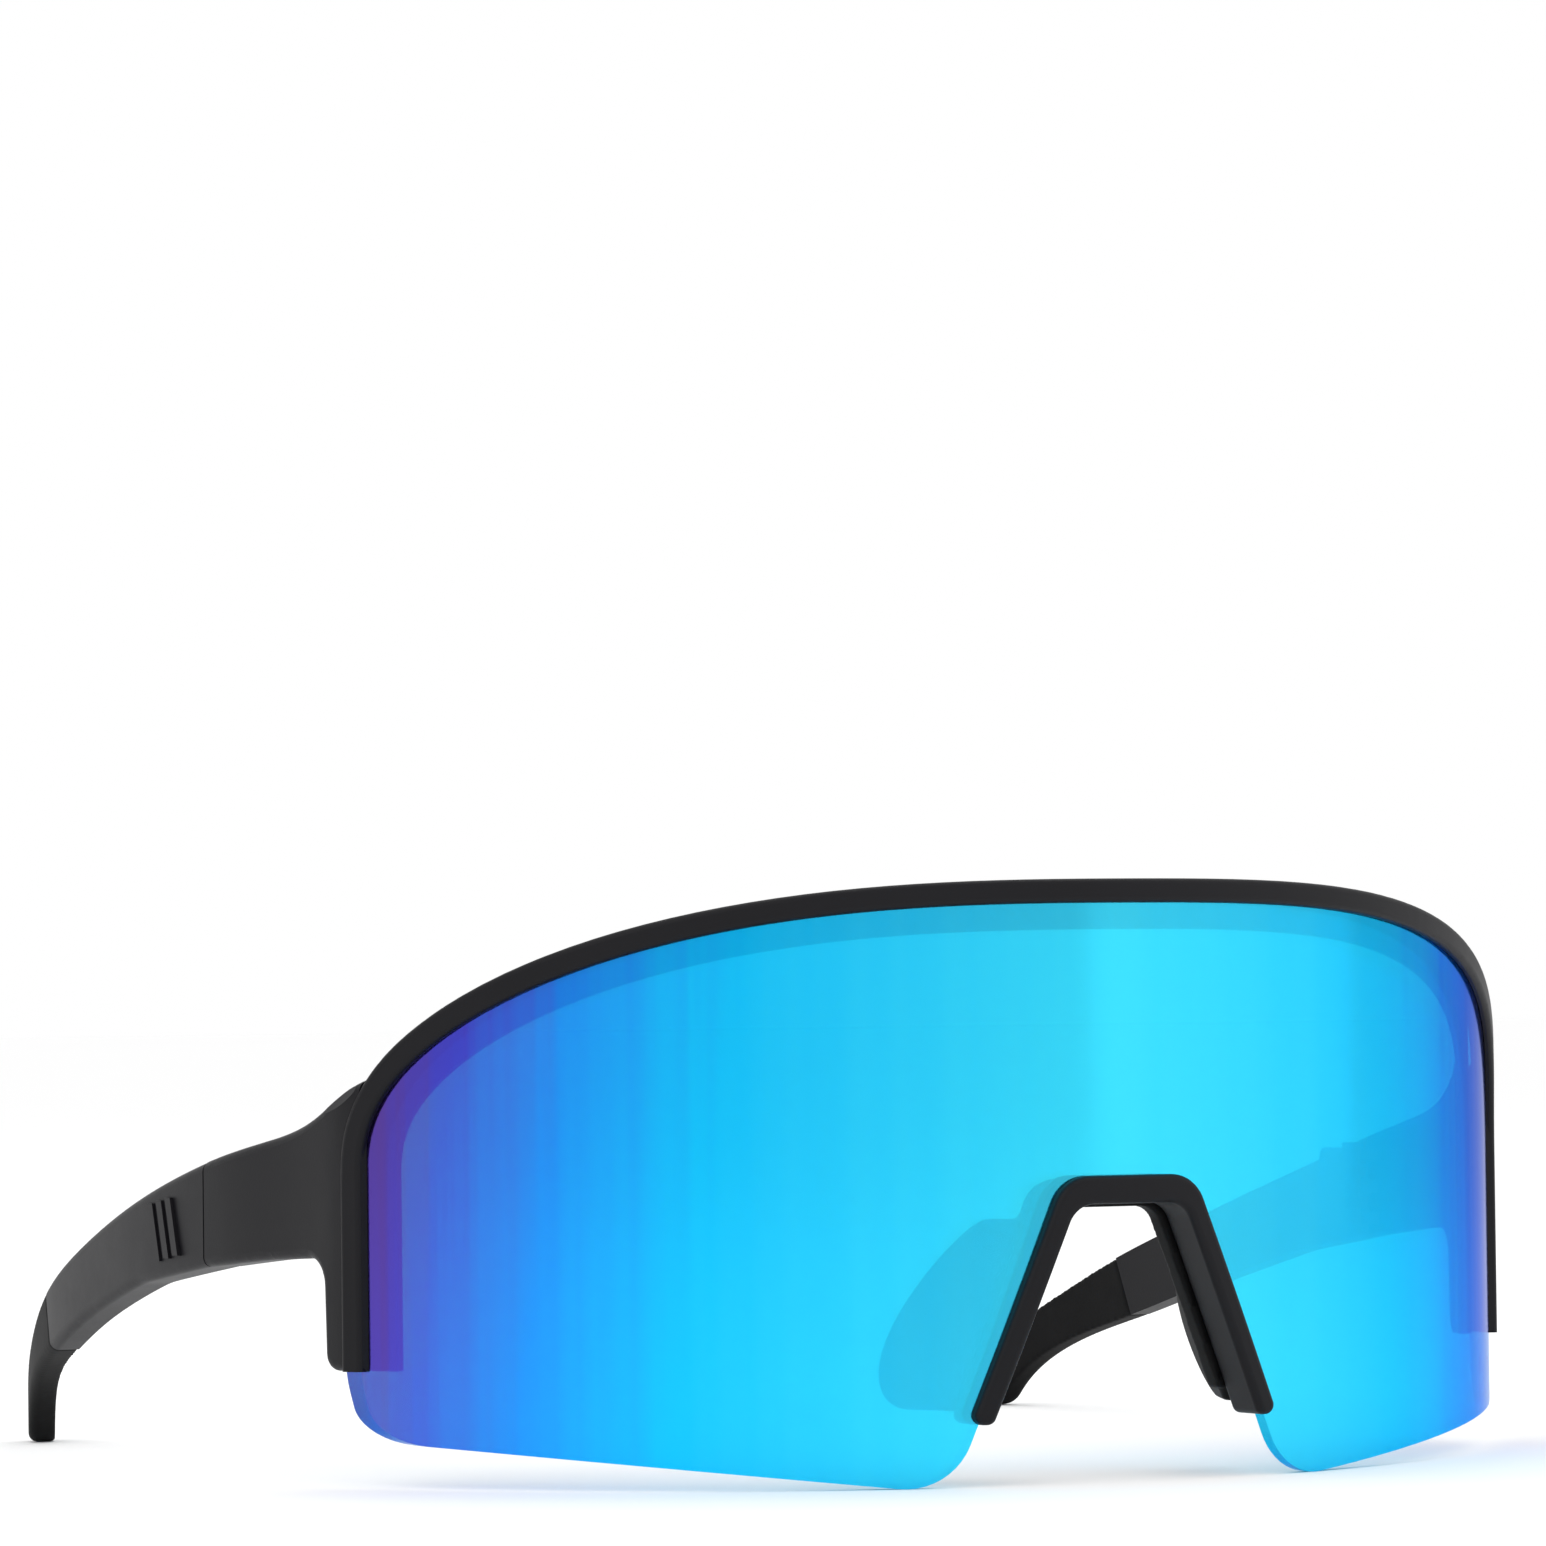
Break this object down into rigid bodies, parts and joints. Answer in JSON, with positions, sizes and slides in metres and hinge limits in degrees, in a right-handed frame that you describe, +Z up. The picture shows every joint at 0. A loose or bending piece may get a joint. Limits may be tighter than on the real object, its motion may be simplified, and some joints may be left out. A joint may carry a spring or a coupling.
{
  "type": "sunglasses",
  "caption": "Wraparound shield sunglasses: one curved mirrored lens in a black brow frame, soft nose saddle and two folding temples with rubber ear grips.",
  "frame": {"origin": "centre of the footprint, on the surface that the lens tips and ear tips stand on", "axes": "+Z up, +X across the width to the wearer's left, -Y the way the lens faces, temples run back along +Y"},
  "size_m": [0.151, 0.1488, 0.0623],
  "materials": {
    "mirrored_lens": "blue mirror coating on a tinted sheet",
    "black_plastic": "soft-touch matte",
    "black_silicone": "matte silicone",
    "wire": "drawn",
    "hinge_steel": "stamped and tumbled"
  },
  "bodies": {
    "front": {"lens": "mirrored_lens", "brow_frame": "black_plastic", "nose_bridge": "black_plastic", "nose_pad": "black_silicone", "nose_pad_wire": "wire", "hinge_frame_leaf_left": "hinge_steel", "hinge_frame_leaf_right": "hinge_steel", "hinge_screw_left": "hinge_steel", "hinge_screw_right": "hinge_steel"},
    "left_temple": {"temple_left": "black_plastic", "ear_grip_left": "black_silicone", "hinge_temple_leaf_left": "hinge_steel"},
    "right_temple": {"temple_right": "black_plastic", "ear_grip_right": "black_silicone", "hinge_temple_leaf_right": "hinge_steel"}
  },
  "joints": [
    {"name": "temple_fold_left", "type": "hinge", "parent": "front", "child": "left_temple", "pos_m": [-0.0685, -0.00505, 0.028], "axis": [0, 0, -1], "range_deg": [0, 95]},
    {"name": "temple_fold_right", "type": "hinge", "parent": "front", "child": "right_temple", "pos_m": [0.0685, -0.00505, 0.028], "axis": [0, 0, 1], "range_deg": [0, 80]}
  ]
}
